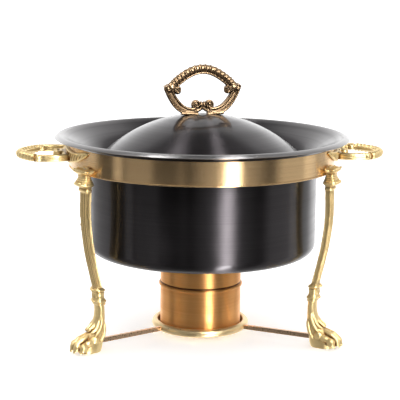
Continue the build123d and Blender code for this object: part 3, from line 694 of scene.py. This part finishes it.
def make_world():
    """White room; only glossy rays see the dark studio with its soft boxes."""
    scene = bpy.context.scene
    scene.world = bpy.data.worlds.new("studio")
    scene.view_settings.view_transform = "Standard"
    n = Nodes("studio", scene.world)
    facing = n.add("ShaderNodeVectorRotate", rotation_type="Z_AXIS", Angle=VIEW_TURN)
    n.link(n.add("ShaderNodeTexCoord").outputs["Generated"], facing.inputs["Vector"])
    split = n.add("ShaderNodeSeparateXYZ")
    n.link(facing.outputs[0], split.inputs[0])
    x, y, z = split.outputs
    degree = 180 / math.pi
    bearing = n.math("MULTIPLY", n.math("ARCTAN2", x, n.math("MULTIPLY", y, -1.0)), degree)
    height = n.math("MULTIPLY", n.math("ARCSINE", z), degree)
    total = DARK_STUDIO
    for sweep, rise, soft, bright in REFLECTED:
        box = n.math("MULTIPLY", n.window(bearing, *sweep, soft), n.window(height, *rise, soft))
        total = n.math("ADD", n.math("MULTIPLY", box, bright), total)
    glossy = n.add("ShaderNodeLightPath").outputs["Is Glossy Ray"]
    n.link(n.mix(glossy, WHITE_ROOM, total), n.tree.nodes["Background"].inputs["Color"])


def make_floor():
    """Plain pale floor, a little bright of itself so that it stays nearly white."""
    mesh = bpy.data.meshes.new("floor")
    corners = [(x * FLOOR_HALF, y * FLOOR_HALF, 0) for x, y in ((-1, -1), (1, -1), (1, 1), (-1, 1))]
    mesh.from_pydata(corners, [], [(0, 1, 2, 3)])
    floor = bpy.data.objects.new("floor", mesh)
    bpy.context.scene.collection.objects.link(floor)
    n = Nodes("floor_paint")
    n.to(n.mix(n.noise(3.0), (0.95, 0.95, 0.95), (0.98, 0.98, 0.98)), "Base Color")
    n.set(Roughness=0.9, Specular_IOR_Level=0.0, Emission_Color=(1, 1, 1, 1), Emission_Strength=0.4)
    mesh.materials.append(n.mat)
    floor.visible_glossy = False


# ---- paints and assembly ----
RIM_SHEEN = (147.0, 160.0)           # radius where the painted reflection on the rim starts, and where it is palest
SEAM_SHADOW_Z = (57.5, 59.2)               # heights of the painted shadow line in the seam between the burner's cup and cover


def make_paints():
    """One paint for each material slot, and the struts' own."""
    return {
        # black nickel, its rim paled towards the edge by a painted reflection
        "black_nickel": brushed(
            "black_nickel_paint", (0.062, 0.056, 0.059), (0.052, 0.047, 0.050), rough=0.34, relief=0.03,
            coat=0.5, rim=(*RIM_SHEEN, (0.30, 0.29, 0.29))),
        "band_brass": brushed(
            "band_brass_paint", (0.76, 0.53, 0.28), (0.68, 0.46, 0.24), rough=0.25, relief=0.02,
            metallic=0.96),
        # burner brass, with a painted shadow line over the seam above the cup's bead
        "burner_brass": brushed(
            "burner_brass_paint", (0.98, 0.50, 0.18), (0.90, 0.43, 0.13), rough=0.48, relief=0.04,
            seam_shadow=(*SEAM_SHADOW_Z, (0.14, 0.05, 0.015)), metallic=0.82),
        # castings: the deep colour is painted shade in recesses, on the antique brass also its patina
        "ring_brass": cast(
            "ring_brass_paint", (0.92, 0.70, 0.38), (0.42, 0.24, 0.08), rough=0.32, metallic=0.85),
        "cast_brass": cast(
            "cast_brass_paint", (0.98, 0.75, 0.36), (0.26, 0.12, 0.03), rough=0.35, metallic=0.80),
        "antique_brass": cast(
            "antique_brass_paint", (0.40, 0.26, 0.14), (0.016, 0.009, 0.004), rough=0.30,
            metallic=0.92, coat=0.3),
        "fastener_steel": plain_metal("fastener_paint", (0.75, 0.75, 0.76), rough=0.2),
        "can_tin": plain_metal("can_tin_paint", (0.72, 0.72, 0.70), rough=0.3),
        "fuel_gel": gel("fuel_gel_paint"),
        "strut_brass": plain_metal("strut_brass_paint", (0.80, 0.54, 0.34), rough=0.3),
    }


def paint_nodes(paints):
    """Gives every CAD node the paint of its slot, and the struts their own."""
    slots = {row["node"]: row["material_slot"] for row in frame["record"]["subparts"]}
    for name, node in frame["nodes"].items():
        paint = paints["strut_brass" if name.startswith("strut_") else slots[name]]
        if not node.data.materials:
            node.data.materials.append(paint)
        for index in range(len(node.data.materials)):
            node.data.materials[index] = paint


def turned(angle):
    """Turn about the dish's axis, in degrees."""
    return Matrix.Rotation(math.radians(angle), 4, "Z")


def replace_node(name, mesh, matrix, body, node, slot, paints):
    """Puts a finished mesh on its body in place of a CAD node."""
    piece = bpy.data.objects.new(name, mesh)
    bpy.context.scene.collection.objects.link(piece)
    piece.matrix_world = matrix
    if not mesh.materials:
        mesh.materials.append(paints[slot])
    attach(piece, body)
    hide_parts(node)


make_camera()
make_world()
make_floor()
paints = make_paints()
paint_nodes(paints)

on_lid = Matrix.Translation((0, 0, DOME_TOP_Z * MM)) @ turned(LID_HANDLE_ANGLE)
upright = Matrix.Rotation(math.pi / 2, 4, "X")
replace_node("lid_handle_casting", lid_handle_mesh(), on_lid @ upright,
             "lid", "lid_handle", "antique_brass", paints)
casting = leg_mesh()
for side, angle in LEG_ANGLES.items():
    replace_node(f"leg_casting_{side}", casting, turned(angle),
                 "stand", f"leg_{side}", "cast_brass", paints)
casting = side_handle_mesh()
for side, angle in HANDLE_ANGLES.items():
    replace_node(f"side_handle_casting_{side}", casting, turned(angle),
                 "stand", f"handle_{side}", "cast_brass", paints)
